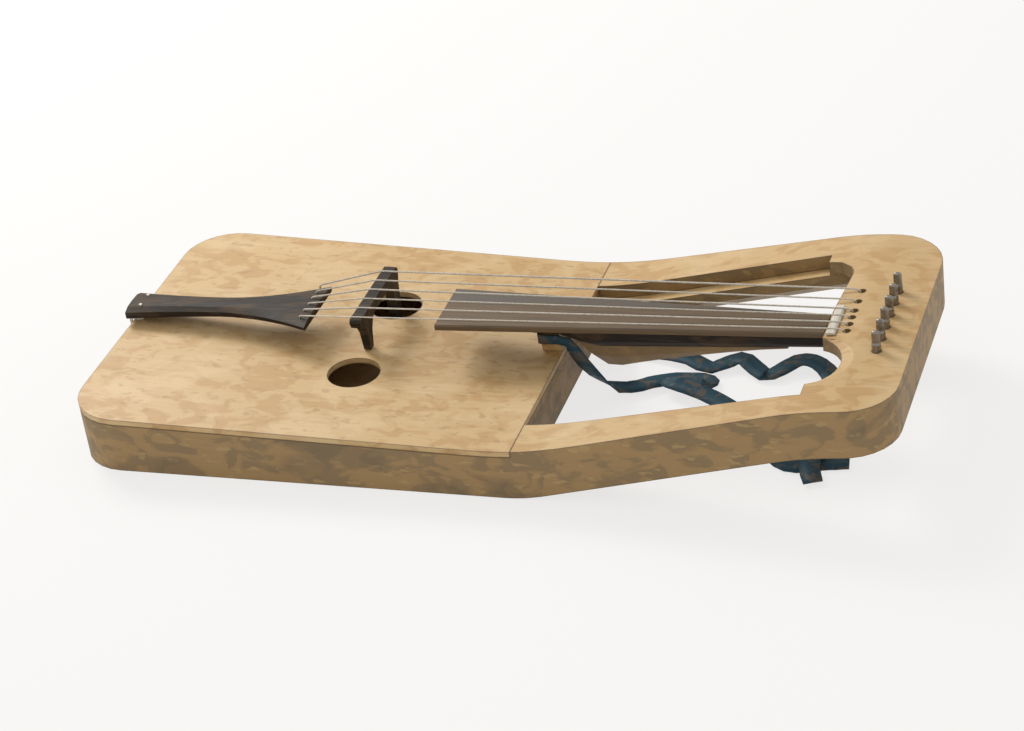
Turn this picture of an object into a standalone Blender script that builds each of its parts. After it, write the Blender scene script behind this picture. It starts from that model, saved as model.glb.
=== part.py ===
"""Crwth, a bowed lyre: a carved body with a yoke, a soundboard, a raised neck and six gut strings.

X runs from the tail to the head, Y across and Z up. Inside the functions X is measured from the tail
edge; every object hangs on one empty, which puts the middle of the flat back at the origin.
The instrument lies on its back. Sizes are in metres.
"""

import math

import bpy
import bmesh
from mathutils import Vector

# Body, carved from one block
BODY_LENGTH = 0.556
SOUNDBOX_LENGTH = 0.3135
BACK_MIDDLE = 0.155
TAIL_WIDTH = 0.248
WAIST_WIDTH = 0.236
HEAD_WIDTH = 0.211
TAIL_CORNER = 0.036
HEAD_CORNER = 0.033
TAIL_DEPTH = 0.0415
WAIST_DEPTH = 0.0345
HEAD_DEPTH = 0.0340
YOKE_TILT = math.radians(12.9)
YOKE_BEND_AFTER_BOX = 0.0055
FRONT_BEND_LENGTH = 0.075
BACK_BEND_LENGTH = 0.030
HEAD_BEND_FROM_END = 0.050
HEAD_BEND_LENGTH = 0.050
BACK_THICKNESS = 0.0065
SIDE_THICKNESS = 0.008
TAIL_BLOCK = 0.024
END_BLOCK = 0.020
CAVITY_CORNER = 0.026

# Window in the yoke, which the neck divides into two openings
RIM_NEAR = 0.087
RIM_FAR = 0.0855
LEDGE_WIDTH = 0.0095
LEDGE_DEPTH = 0.010
ARM_WALL = 0.008
ARM_BEVEL = 0.024
NEAR_LOBE_RADIUS = 0.0295
NEAR_LOBE_FROM_END = 0.034
NEAR_LOBE_LIP = 0.008
NEAR_LOBE_LIP_SIDE = 0.0015
NEAR_LOBE_LIP_DEPTH = 0.003
TONGUE_FROM_END = 0.0592
TONGUE_FAR = 0.008
FAR_LOBE_FROM_END = 0.0555
FAR_LOBE_RADIUS = 0.0205
HEAD_WALL = 0.0335
WINDOW_CORNER = 0.012

# Soundboard
SOUNDBOARD_THICKNESS = 0.004
SOUNDHOLE_RADIUS = 0.018
SOUNDHOLE_SPREAD = 0.043

# Fingerboard, neck, its foot and its wedge
FINGERBOARD_START = 0.234
FINGERBOARD_THICKNESS = 0.0045
FINGERBOARD_WIDE = 0.048
FINGERBOARD_NARROW = 0.0238
FINGERBOARD_START_Y = 0.002
FINGERBOARD_END_Y = -0.0044
FINGERBOARD_START_RISE = 0.0291
FINGERBOARD_END_RISE = 0.0004
NECK_START_BEFORE_BOX_END = 0.018
NECK_INSET = 0.0008
NECK_DEPTH_START = 0.0115
NECK_DEPTH_END = 0.0085
NECK_CHAMFER = 0.0035
NECK_ROOT_HALF_WIDTH = 0.009
NECK_ROOT_Y = 0.004
NECK_FULL_FROM_BOX = 0.030
FOOT_LENGTH = 0.014
FOOT_HALF_WIDTH = 0.0065
FOOT_LEAN = 0.004
WEDGE_FROM_BOX = 0.0145
WEDGE_LENGTH = 0.143
WEDGE_DEPTH = 0.0235
WEDGE_TIP_DEPTH = 0.0028
WEDGE_LEAN = 0.95

# Strings and what carries them
STRING_COUNT = 6
DRONE_COUNT = 2
STRING_DIAMETERS = (0.0013, 0.0011, 0.0012, 0.0010, 0.0011, 0.0009)
STRING_SINK = 0.0002
BRIDGE_X = 0.180
BRIDGE_THICKNESS = 0.008
BRIDGE_FOOT_THICKNESS = 0.005
BRIDGE_HEIGHT = 0.0315
BRIDGE_BEAM_DEPTH = 0.0085
BRIDGE_PITCH = 0.012
BRIDGE_MIDDLE_Y = 0.006
BRIDGE_NEAR_OVERHANG = 0.0045
BRIDGE_FAR_OVERHANG = 0.0105
SHORT_LEG_Y = -0.0125
SHORT_LEG_WIDTH = 0.009
LONG_LEG_WIDTH = 0.010
LONG_LEG_INSET = 0.0015
NUT_WIDTH = 0.006
NUT_FROM_TONGUE = 0.0017
NUT_RISE = 0.0022
NUT_NEAR = -0.0195
NUT_FAR = 0.0145
STRING_HOLE_RADIUS = 0.0025
STRING_HOLE_FROM_END = 0.045
STRING_HOLE_FIRST_Y = 0.0347
DRONE_PITCH = 0.013
MELODY_GAP = 0.0113
MELODY_PITCH = 0.0082
TAIL_HOLE_PITCH = 0.008
TAIL_HOLE_MIDDLE_Y = 0.005
TAIL_HOLE_RADIUS = 0.0011
KNOT_RADIUS = 0.0016

# Tailpiece, its loop and the end button
TAILPIECE_START = -0.002
TAILPIECE_END = 0.1405
TAILPIECE_END_WIDTH = 0.027
TAILPIECE_WAIST = 0.0195
TAILPIECE_WAIST_X = 0.068
TAILPIECE_HEAD_WIDTH = 0.054
TAILPIECE_START_Y = 0.0045
TAILPIECE_HEAD_Y = 0.0015
TAILPIECE_START_RISE = 0.0040
TAILPIECE_HEAD_RISE = 0.0175
TAILPIECE_START_THICKNESS = 0.008
TAILPIECE_HEAD_THICKNESS = 0.0055
TAILPIECE_CROWN = 0.0012
TAIL_HOLES_FROM_HEAD = 0.007
BUTTON_HEIGHT = 0.020
BUTTON_SHANK_RADIUS = 0.0032
BUTTON_SHANK_LENGTH = 0.016
BUTTON_NECK_RADIUS = 0.0038
BUTTON_NECK_LENGTH = 0.0036
BUTTON_HEAD_RADIUS = 0.0068
BUTTON_HEAD_LENGTH = 0.0045
LOOP_DIAMETER = 0.0024
LOOP_HALF_SPAN = 0.0065
LOOP_HOLE_X = 0.0075

# Tuning pins
PIN_PITCH = 0.0142
PIN_FIRST_Y = 0.0346
PIN_FROM_END = 0.0215
PIN_RADIUS = 0.0030
PIN_REAR_RADIUS = 0.0026
PIN_COLLAR = 0.0065
PIN_BLADE = 0.0080
PIN_BLADE_WIDE = 0.0028
PIN_BLADE_THIN = 0.0019
PIN_DOME = 0.0012
PIN_REAR_LENGTH = 0.0145
PIN_CLEARANCE = 0.0002
WINDING_TURNS = 3
WINDING_STEP_GAP = 0.0005
STRING_LEVEL_BELOW_HEAD = 0.0040

# Ribbon
RIBBON_WIDTH = 0.014
RIBBON_THICKNESS = 0.0010
RIBBON_BUNCH = 0.5
YOKE_PARTS = 242.5
WAIST_PARTS = 236.0
RIBBON_SAMPLES = 96

# Fits and roundness
SEAM = 0.0003
ROUND_SIDES = 20
PIN_SIDES = 16
STRING_SIDES = 6
ARC_STEPS = 7
OVERCUT = 0.010


def clear_scene():
    """Take the startup objects away."""
    for thing in list(bpy.data.objects):
        bpy.data.objects.remove(thing, do_unlink=True)


def make_material(name, colour, roughness, metallic=0.0):
    """A plain Principled material with the piece's colour."""
    material = bpy.data.materials.new(name)
    material.use_nodes = True
    shader = material.node_tree.nodes["Principled BSDF"]
    shader.inputs["Base Color"].default_value = (*colour, 1.0)
    shader.inputs["Roughness"].default_value = roughness
    shader.inputs["Metallic"].default_value = metallic
    return material


def add_object(name, mesh, material, place=(0.0, 0.0, 0.0)):
    """Hang a mesh on the reference empty."""
    thing = bpy.data.objects.new(name, mesh)
    bpy.context.scene.collection.objects.link(thing)
    thing.parent = bpy.data.objects["back_middle"]
    thing.location = place
    if material:
        mesh.materials.append(material)
    return thing


def add_bmesh(name, shape, material, place=(0.0, 0.0, 0.0), smooth=False):
    """Turn a bmesh into an object with its faces pointing out."""
    bmesh.ops.recalc_face_normals(shape, faces=shape.faces)
    if shape.calc_volume(signed=True) < 0:
        bmesh.ops.reverse_faces(shape, faces=shape.faces)
    mesh = bpy.data.meshes.new(name)
    shape.to_mesh(mesh)
    shape.free()
    if smooth:
        mesh.shade_smooth()
        mesh.set_sharp_from_angle(angle=math.radians(35))
    return add_object(name, mesh, material, place)


def add_loft(shape, sections):
    """Skin rings of equal point count and close both ends."""
    rings = [[shape.verts.new(point) for point in section] for section in sections]
    count = len(rings[0])
    for ring, following in zip(rings, rings[1:]):
        for i in range(count):
            j = (i + 1) % count
            shape.faces.new((ring[i], ring[j], following[j], following[i]))
    shape.faces.new(list(reversed(rings[0])))
    shape.faces.new(rings[-1])


def loft(name, sections, material, place=(0.0, 0.0, 0.0), smooth=False):
    """One object made of one loft."""
    shape = bmesh.new()
    add_loft(shape, sections)
    return add_bmesh(name, shape, material, place, smooth)


def cut(target, cutters):
    """Subtract each cutter and hide it."""
    for cutter in cutters:
        modifier = target.modifiers.new(cutter.name, "BOOLEAN")
        modifier.operation = "DIFFERENCE"
        modifier.object = cutter
        cutter.hide_render = True
        cutter.display_type = "WIRE"


def circle(centre, radius_a, radius_b, axis_a, axis_b, sides):
    """Points of an ellipse on two axes."""
    centre, axis_a, axis_b = Vector(centre), Vector(axis_a), Vector(axis_b)
    points = []
    for i in range(sides):
        angle = 2 * math.pi * (i + 0.5) / sides
        points.append(centre + axis_a * radius_a * math.cos(angle) + axis_b * radius_b * math.sin(angle))
    return points


def add_rod(shape, start, end, radius, sides):
    """A straight round rod between two points."""
    direction = (Vector(end) - Vector(start)).normalized()
    side = direction.cross(Vector((0.0, 1.0, 0.0) if abs(direction.y) < 0.9 else (1.0, 0.0, 0.0))).normalized()
    other = direction.cross(side)
    add_loft(shape, [circle(point, radius, radius, side, other, sides) for point in (start, end)])


def rods_cutter(name, rods, sides):
    """One cutter holding several rods, each (start, end, radius)."""
    shape = bmesh.new()
    for start, end, radius in rods:
        add_rod(shape, start, end, radius, sides)
    return add_bmesh(name, shape, None)


def tube(name, points, radii, sides, material):
    """A round tube along points, with its frame carried from point to point."""
    points = [Vector(point) for point in points]
    tangents = []
    for i in range(len(points)):
        before, after = points[max(i - 1, 0)], points[min(i + 1, len(points) - 1)]
        tangents.append((after - before).normalized())
    side = tangents[0].orthogonal().normalized()
    sections = []
    for point, tangent, radius in zip(points, tangents, radii):
        side = (side - tangent * side.dot(tangent)).normalized()
        sections.append(circle(point, radius, radius, side, tangent.cross(side), sides))
    return loft(name, sections, material, smooth=True)


def rounded_route(corners, reach, steps=3):
    """Replace each inner corner of a route by a short curve."""
    corners = [Vector(corner) for corner in corners]
    route = [corners[0]]
    for before, corner, after in zip(corners, corners[1:], corners[2:]):
        start = corner + (before - corner).normalized() * min(reach, (before - corner).length * 0.45)
        end = corner + (after - corner).normalized() * min(reach, (after - corner).length * 0.45)
        for i in range(steps + 1):
            t = i / steps
            route.append(start * (1 - t) ** 2 + corner * 2 * t * (1 - t) + end * t ** 2)
    route.append(corners[-1])
    return route


def mix(a, b, t):
    """Straight blend of two numbers."""
    return a + (b - a) * t


def bend(x, centre, length):
    """Smooth corner: 0 before the bend, x - centre after it."""
    u = (x - centre) / length + 0.5
    if u >= 1.0:
        return x - centre
    return length * max(u, 0.0) ** 2 / 2


def waist_x():
    """Where the yoke starts to rise."""
    return SOUNDBOX_LENGTH + YOKE_BEND_AFTER_BOX


def rise(x, first_bend):
    """How far the yoke has lifted at x."""
    head = bend(x, BODY_LENGTH - HEAD_BEND_FROM_END, HEAD_BEND_LENGTH)
    return math.tan(YOKE_TILT) * (bend(x, waist_x(), first_bend) - head)


def tapered(x, tail, waist, head):
    """A size that runs straight from tail to waist and from waist to head."""
    if x < waist_x():
        return mix(tail, waist, x / waist_x())
    return mix(waist, head, (x - waist_x()) / (BODY_LENGTH - waist_x()))


def back_z(x):
    """Height of the body's back at x."""
    return rise(x, BACK_BEND_LENGTH)


def front_z(x, depth=0.0):
    """Height of the front, or of a level below it."""
    return rise(x, FRONT_BEND_LENGTH) + tapered(x, TAIL_DEPTH, WAIST_DEPTH, HEAD_DEPTH) - depth


def corner_loss(distance, radius):
    """What a rounded corner takes off the half width at a distance from the end."""
    if distance >= radius:
        return 0.0
    return radius - math.sqrt(max(radius ** 2 - (radius - distance) ** 2, 0.0))


def half_width(x, inset=0.0, tail=0.0, head=BODY_LENGTH, tail_corner=TAIL_CORNER, head_corner=HEAD_CORNER):
    """Half the body's width at x, drawn in by an inset and with round corners at both ends."""
    straight = tapered(x, TAIL_WIDTH, WAIST_WIDTH, HEAD_WIDTH) / 2 - inset
    return straight - corner_loss(x - tail, tail_corner) - corner_loss(head - x, head_corner)


def stations(start, end, tail_corner=0.0, head_corner=0.0):
    """X positions along a stretch, close together in corners and bends."""
    places = {start, end}
    for i in range(1, ARC_STEPS + 1):
        angle = math.pi / 2 * i / ARC_STEPS
        if tail_corner:
            places.add(start + tail_corner * (1 - math.cos(angle)))
        if head_corner:
            places.add(end - head_corner * (1 - math.cos(angle)))
    bends = (
        (waist_x(), BACK_BEND_LENGTH),
        (waist_x(), FRONT_BEND_LENGTH),
        (BODY_LENGTH - HEAD_BEND_FROM_END, HEAD_BEND_LENGTH),
    )
    for centre, length in bends:
        for i in range(ARC_STEPS):
            places.add(centre + length * (i / (ARC_STEPS - 1) - 0.5))
    kept = []
    for x in sorted(x for x in places if start <= x <= end):
        if not kept or x - kept[-1] > 0.0008:
            kept.append(x)
    kept[-1] = end
    return kept


def box_section(x, near, far, low, high):
    """Four corners of an upright section at x."""
    return [(x, near, low), (x, far, low), (x, far, high), (x, near, high)]


def head_x(distance):
    """A place measured back from the head end."""
    return BODY_LENGTH - distance


def arc_half(x, centre, radius_x, radius_y):
    """Half the height of an ellipse at x."""
    share = (x - centre) / radius_x
    return radius_y * math.sqrt(max(1.0 - share ** 2, 0.0))


def pin_places():
    """Centres of the tuning pins, string by string from the far side."""
    x = head_x(PIN_FROM_END)
    return [(x, PIN_FIRST_Y - PIN_PITCH * i) for i in range(STRING_COUNT)]


def string_hole_places():
    """Centres of the string holes in the head."""
    x = head_x(STRING_HOLE_FROM_END)
    places = []
    y = STRING_HOLE_FIRST_Y
    for i in range(STRING_COUNT):
        places.append((x, y))
        if i + 1 < DRONE_COUNT:
            y -= DRONE_PITCH
        elif i + 1 == DRONE_COUNT:
            y -= MELODY_GAP
        else:
            y -= MELODY_PITCH
    return places


def window_front_cutters():
    """The front layer of the window: the wide rebate along the arms and the two round ends."""
    tongue = head_x(TONGUE_FROM_END)
    step = head_x(FAR_LOBE_FROM_END) - FAR_LOBE_RADIUS
    far_y = RIM_FAR - LEDGE_WIDTH - FAR_LOBE_RADIUS
    near_centre = head_x(NEAR_LOBE_FROM_END) - NEAR_LOBE_RADIUS
    near_y = LEDGE_WIDTH + NEAR_LOBE_RADIUS - RIM_NEAR
    level = front_z(BODY_LENGTH) + OVERCUT

    def layer(x, near, far):
        return box_section(x, near, far, front_z(x, LEDGE_DEPTH), level)

    wide = [layer(x, -RIM_NEAR, RIM_FAR) for x in stations(SOUNDBOX_LENGTH, step)]
    middle = []
    for x in stations(step - SEAM, tongue):
        far = far_y + arc_half(x, step, FAR_LOBE_RADIUS, FAR_LOBE_RADIUS)
        middle.append(layer(x, -RIM_NEAR, far))
    far_lobe = []
    for i in range(ARC_STEPS):
        x = mix(tongue - SEAM, step + FAR_LOBE_RADIUS - SEAM, i / (ARC_STEPS - 1))
        inner = mix(TONGUE_FAR, far_y, i / (ARC_STEPS - 1))
        outer = far_y + arc_half(x, step, FAR_LOBE_RADIUS, FAR_LOBE_RADIUS)
        far_lobe.append(layer(x, inner, outer))

    def lobe_outline(shift, side, z):
        middle = near_centre - shift / 2
        reach = NEAR_LOBE_RADIUS - shift / 2
        widest = math.acos((tongue - SEAM - middle) / reach)
        points = []
        for i in range(2 * ARC_STEPS + 1):
            angle = widest * (i / ARC_STEPS - 1)
            y = near_y + (NEAR_LOBE_RADIUS - side) * math.sin(angle)
            points.append((middle + reach * math.cos(angle), y, z))
        return points

    lip_z = front_z(head_x(NEAR_LOBE_FROM_END), NEAR_LOBE_LIP_DEPTH)
    lip_top = front_z(head_x(NEAR_LOBE_FROM_END))
    near_lobe = [
        lobe_outline(NEAR_LOBE_LIP, NEAR_LOBE_LIP_SIDE, lip_z - LEDGE_DEPTH),
        lobe_outline(NEAR_LOBE_LIP, NEAR_LOBE_LIP_SIDE, lip_z),
        lobe_outline(0.0, 0.0, lip_top),
        lobe_outline(0.0, 0.0, level),
    ]
    return [
        loft("window_rebate_cutter", wide, None),
        loft("window_middle_cutter", middle, None),
        loft("far_lobe_cutter", far_lobe, None),
        loft("near_lobe_cutter", near_lobe, None),
    ]


def window_back_cutter():
    """The through part of the window, flared towards the back under each arm."""
    start, end = SOUNDBOX_LENGTH + SEAM / 3, head_x(HEAD_WALL)
    sections = []
    for x in stations(start, end, head_corner=WINDOW_CORNER):
        loss = corner_loss(end - x, WINDOW_CORNER)
        near, far = -RIM_NEAR + LEDGE_WIDTH + loss, RIM_FAR - LEDGE_WIDTH - loss
        flare = ARM_BEVEL * min((x - start) / ARM_BEVEL + SEAM / ARM_BEVEL, 1.0)
        top, wall = front_z(x, LEDGE_DEPTH - SEAM), front_z(x, LEDGE_DEPTH + ARM_WALL)
        low = back_z(x) - SEAM
        sections.append([
            (x, near, top), (x, near, wall), (x, near - flare, low),
            (x, near - flare, low - OVERCUT), (x, far + flare, low - OVERCUT),
            (x, far + flare, low), (x, far, wall), (x, far, top),
        ])
    return loft("window_back_cutter", sections, None)


def build_body(wood):
    """Soundbox, yoke arms and head, carved from one block."""
    sections = []
    for x in stations(0.0, BODY_LENGTH, TAIL_CORNER, HEAD_CORNER):
        half = half_width(x)
        sections.append(box_section(x, -half, half, back_z(x), front_z(x)))
    body = loft("body", sections, wood)

    seat = []
    for x in stations(-OVERCUT, SOUNDBOX_LENGTH + SEAM):
        half = TAIL_WIDTH / 2 + OVERCUT
        seat.append(box_section(x, -half, half, front_z(x, SOUNDBOARD_THICKNESS + SEAM), front_z(x) + OVERCUT))
    cavity = []
    low, high = TAIL_BLOCK, SOUNDBOX_LENGTH - END_BLOCK
    for x in stations(low, high, CAVITY_CORNER, CAVITY_CORNER):
        half = half_width(x, SIDE_THICKNESS, low, high, CAVITY_CORNER, CAVITY_CORNER)
        cavity.append(box_section(x, -half, half, BACK_THICKNESS, front_z(x) + OVERCUT))
    bores = []
    for x, y in pin_places():
        bores.append(((x, y, back_z(x) - OVERCUT), (x, y, front_z(x) + OVERCUT), PIN_RADIUS + PIN_CLEARANCE))
    holes = []
    for x, y in string_hole_places():
        holes.append(((x, y, front_z(x, LEDGE_DEPTH) - SEAM), (x, y, front_z(x) + OVERCUT), STRING_HOLE_RADIUS))
    socket = ((-OVERCUT, TAILPIECE_START_Y, BUTTON_HEIGHT),
              (BUTTON_SHANK_LENGTH + SEAM, TAILPIECE_START_Y, BUTTON_HEIGHT),
              BUTTON_SHANK_RADIUS + SEAM)
    cut(body, [
        loft("soundboard_seat_cutter", seat, None),
        loft("cavity_cutter", cavity, None),
        window_back_cutter(),
        *window_front_cutters(),
        rods_cutter("pin_bores_cutter", bores, PIN_SIDES),
        rods_cutter("string_holes_cutter", holes, PIN_SIDES),
        rods_cutter("button_socket_cutter", [socket], PIN_SIDES),
    ])


def build_soundboard(wood):
    """Thin plate over the soundbox, with two round soundholes."""
    sections = []
    for x in stations(0.0, SOUNDBOX_LENGTH, TAIL_CORNER):
        half = half_width(x, head=2 * BODY_LENGTH)
        sections.append(box_section(x, -half, half, front_z(x, SOUNDBOARD_THICKNESS), front_z(x)))
    board = loft("soundboard", sections, wood)
    holes = []
    for side in (-1, 1):
        y = side * SOUNDHOLE_SPREAD
        holes.append(((BRIDGE_X, y, 0.0), (BRIDGE_X, y, TAIL_DEPTH + OVERCUT), SOUNDHOLE_RADIUS))
    cut(board, [rods_cutter("soundholes_cutter", holes, 2 * PIN_SIDES)])


def fingerboard_share(x):
    """How far along the fingerboard x lies."""
    return (x - FINGERBOARD_START) / (fingerboard_end() - FINGERBOARD_START)


def fingerboard_end():
    """The fingerboard and the neck stop at the head's tongue."""
    return head_x(TONGUE_FROM_END) - SEAM


def fingerboard_top(x):
    """Height of the fingerboard's playing face."""
    start = front_z(FINGERBOARD_START) + FINGERBOARD_START_RISE
    end = front_z(fingerboard_end()) + FINGERBOARD_END_RISE
    return mix(start, end, fingerboard_share(x))


def fingerboard_half(x):
    """Half the fingerboard's width."""
    return mix(FINGERBOARD_WIDE, FINGERBOARD_NARROW, fingerboard_share(x)) / 2


def fingerboard_y(x):
    """Middle line of the fingerboard."""
    return mix(FINGERBOARD_START_Y, FINGERBOARD_END_Y, fingerboard_share(x))


def neck_top(x):
    """The neck is glued under the fingerboard."""
    return fingerboard_top(x) - FINGERBOARD_THICKNESS - SEAM


def neck_bottom(x):
    """Underside of the neck, which gets shallower towards the head."""
    start = SOUNDBOX_LENGTH - NECK_START_BEFORE_BOX_END
    share = (x - start) / (fingerboard_end() - start)
    return neck_top(x) - mix(NECK_DEPTH_START, NECK_DEPTH_END, share)


def neck_half(x):
    """Half the neck's width: slim over the soundbox, as wide as the fingerboard further on."""
    share = min(max((x - SOUNDBOX_LENGTH) / NECK_FULL_FROM_BOX, 0.0), 1.0)
    return mix(NECK_ROOT_HALF_WIDTH, fingerboard_half(x) - NECK_INSET, share ** 0.7)


def neck_y(x):
    """Middle line of the neck."""
    share = min(max((x - SOUNDBOX_LENGTH) / NECK_FULL_FROM_BOX, 0.0), 1.0)
    return mix(NECK_ROOT_Y, fingerboard_y(x), share)


def build_fingerboard(wood):
    """Dark plate that overhangs the soundboard at its wide end."""
    edge = FINGERBOARD_THICKNESS / 5
    sections = []
    for i in range(5):
        x = mix(FINGERBOARD_START, fingerboard_end(), i / 4)
        y, half, high = fingerboard_y(x), fingerboard_half(x), fingerboard_top(x)
        low = high - FINGERBOARD_THICKNESS
        sections.append([
            (x, y - half, low + edge), (x, y - half + edge, low), (x, y + half - edge, low),
            (x, y + half, low + edge), (x, y + half, high - edge), (x, y + half - edge, high),
            (x, y - half + edge, high), (x, y - half, high - edge),
        ])
    loft("fingerboard", sections, wood)


def build_neck(wood):
    """Dark bar under the fingerboard, from the soundbox to the head."""
    start = SOUNDBOX_LENGTH - NECK_START_BEFORE_BOX_END
    full = SOUNDBOX_LENGTH + NECK_FULL_FROM_BOX
    places = [start, SOUNDBOX_LENGTH]
    places += [mix(SOUNDBOX_LENGTH, full, share) for share in (0.1, 0.3, 0.6, 1.0)]
    places += [mix(full, fingerboard_end(), share) for share in (0.5, 1.0)]
    sections = []
    for x in places:
        y, half, high, low = neck_y(x), neck_half(x), neck_top(x), neck_bottom(x)
        waist = mix(low, high, 0.45)
        sections.append([
            (x, y - half + NECK_CHAMFER, low), (x, y + half - NECK_CHAMFER, low),
            (x, y + half - NECK_CHAMFER * 0.3, mix(low, waist, 0.5)), (x, y + half, waist), (x, y + half, high),
            (x, y - half, high), (x, y - half, waist), (x, y - half + NECK_CHAMFER * 0.3, mix(low, waist, 0.5)),
        ])
    loft("neck", sections, wood, smooth=True)


def foot_x():
    """The foot's end that faces the tail."""
    return SOUNDBOX_LENGTH - FOOT_LENGTH


def build_neck_foot(wood):
    """Light block that carries the neck over the soundbox's end block."""
    sections = []
    for share in (0.0, 1.0):
        y = NECK_ROOT_Y + FOOT_LEAN * (1.0 - share)
        ring = []
        for x, side in ((foot_x(), -1), (SOUNDBOX_LENGTH, -1), (SOUNDBOX_LENGTH, 1), (foot_x(), 1)):
            low, high = front_z(x) + SEAM, neck_bottom(x) - SEAM
            ring.append((x, y + side * FOOT_HALF_WIDTH, mix(low, high, share)))
        sections.append(ring)
    loft("neck_foot", sections, wood)


def build_neck_wedge(wood):
    """Long wedge that stiffens the neck; its deep end is cut aslant beside the soundbox."""
    start = SOUNDBOX_LENGTH + WEDGE_FROM_BOX
    sections = []
    steps = 8
    for i in range(steps + 1):
        share = i / steps
        x = mix(start, start + WEDGE_LENGTH, share)
        half, y = neck_half(x) - NECK_CHAMFER, neck_y(x)
        depth = WEDGE_DEPTH * (1.0 - share) ** 1.2 + WEDGE_TIP_DEPTH * share
        lean = WEDGE_LEAN * (1.0 - share) ** 2
        ring = []
        for across, down in ((1, 0), (0.97, 0.45), (0.72, 0.85), (0.28, 1), (-0.28, 1), (-0.72, 0.85), (-0.97, 0.45), (-1, 0)):
            place = x + lean * depth * down
            ring.append((place, y + half * across, neck_bottom(place) - SEAM - depth * down))
        sections.append(ring)
    loft("neck_wedge", sections, wood, smooth=True)


def bridge_top():
    """Height of the bridge's top edge."""
    return front_z(BRIDGE_X) + BRIDGE_HEIGHT


def bridge_string_y(i):
    """Where string i crosses the bridge."""
    return BRIDGE_MIDDLE_Y + BRIDGE_PITCH * ((STRING_COUNT - 1) / 2 - i)


def string_radius(i):
    """Half the thickness of string i."""
    return STRING_DIAMETERS[i] / 2


def bridge_string_point(i):
    """String i bends over the tail side of the bridge."""
    return (BRIDGE_X - BRIDGE_THICKNESS / 2, bridge_string_y(i), bridge_top() + STRING_SINK)


def nut_x():
    """Middle of the nut."""
    return head_x(TONGUE_FROM_END) + NUT_FROM_TONGUE + NUT_WIDTH / 2


def nut_top():
    """Height of the nut's top edge."""
    return front_z(nut_x()) + NUT_RISE


def nut_string_point(i):
    """String i where it leaves the nut or, for a drone, the same height beside it."""
    return (nut_x() + NUT_WIDTH / 2, string_hole_places()[i][1], nut_top() + STRING_SINK)


def string_grooves(start_shift, end_shift, clearance):
    """Rods along the strings between bridge and nut, which cut their grooves."""
    rods = []
    for i in range(STRING_COUNT):
        start, end = Vector(bridge_string_point(i)), Vector(nut_string_point(i))
        along = (end - start).normalized()
        rods.append((start - along * start_shift, end + along * end_shift, string_radius(i) + clearance))
    return rods


def build_bridge(wood):
    """Flat bridge: a short leg on the soundboard, and a long one through the far soundhole to the back."""
    top = bridge_top()
    arch = top - BRIDGE_BEAM_DEPTH
    near = bridge_string_y(STRING_COUNT - 1) - BRIDGE_NEAR_OVERHANG
    far = bridge_string_y(0) + BRIDGE_FAR_OVERHANG
    board = front_z(BRIDGE_X) + 2 * SEAM
    floor = BACK_THICKNESS + SEAM
    half_leg = SHORT_LEG_WIDTH / 2
    long_far = far - LONG_LEG_INSET
    long_near = long_far - LONG_LEG_WIDTH
    spring = 0.006
    outline = [
        (near, top - 0.002), (near + 0.002, top), (far - 0.004, top), (far - 0.001, top - 0.002), (far, top - 0.005),
        (long_far, arch - spring), (long_far - 0.001, floor), (long_near + 0.0015, floor),
        (long_near, arch - spring), (long_near - spring / 2, arch - spring / 3), (long_near - spring, arch),
        (SHORT_LEG_Y + half_leg + spring, arch), (SHORT_LEG_Y + half_leg + spring / 3, arch - spring / 2),
        (SHORT_LEG_Y + half_leg * 0.8, arch - spring * 1.6), (SHORT_LEG_Y + half_leg * 0.6, board),
        (SHORT_LEG_Y - half_leg * 0.6, board), (SHORT_LEG_Y - half_leg * 0.9, arch - spring * 1.4),
        (SHORT_LEG_Y - half_leg - spring / 3, arch - spring / 2), (near + 0.0015, arch + 0.002),
    ]
    shape = bmesh.new()
    faces = []
    for side in (-1, 1):
        ring = []
        for y, z in outline:
            share = min(max((top - z) / BRIDGE_HEIGHT, 0.0), 1.0)
            half = mix(BRIDGE_THICKNESS, BRIDGE_FOOT_THICKNESS, share) / 2
            ring.append(shape.verts.new((BRIDGE_X + side * half, y, z)))
        faces.append(ring)
    shape.faces.new(faces[0])
    shape.faces.new(list(reversed(faces[1])))
    for i in range(len(outline)):
        j = (i + 1) % len(outline)
        shape.faces.new((faces[0][j], faces[0][i], faces[1][i], faces[1][j]))
    bridge = add_bmesh("bridge", shape, wood)
    rods = []
    for start, end, radius in string_grooves(OVERCUT, -0.25, SEAM * 1.4):
        rods.append((start, end, radius))
    cut(bridge, [rods_cutter("bridge_grooves_cutter", rods, 10)])


def build_nut(bone):
    """Bone nut on the head's tongue, under the four melody strings."""
    sections = []
    half = NUT_WIDTH / 2
    for y in (NUT_NEAR, NUT_FAR):
        low = front_z(nut_x()) + 2 * SEAM
        high = nut_top()
        lean = (front_z(nut_x() + half) - front_z(nut_x() - half)) / 2
        sections.append([
            (nut_x() - half, y, low - lean), (nut_x() + half, y, low + lean),
            (nut_x() + half, y, high - half / 4), (nut_x() + half * 0.6, y, high),
            (nut_x() - half * 0.6, y, high), (nut_x() - half, y, high - half / 4),
        ])
    nut = loft("nut", sections, bone)
    rods = []
    for start, end, radius in string_grooves(-0.25, OVERCUT, SEAM * 1.4)[DRONE_COUNT:]:
        rods.append((start, end, radius))
    cut(nut, [rods_cutter("nut_grooves_cutter", rods, 10)])


def tailpiece_bottom(x):
    """Height of the tailpiece's underside."""
    share = (x - TAILPIECE_START) / (TAILPIECE_END - TAILPIECE_START)
    return front_z(0.0) + mix(TAILPIECE_START_RISE, TAILPIECE_HEAD_RISE, share) - tail_fall(x)


def tail_fall(x):
    """How far the soundboard has dropped at x since the tail."""
    return front_z(0.0) - front_z(max(x, 0.0))


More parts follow.
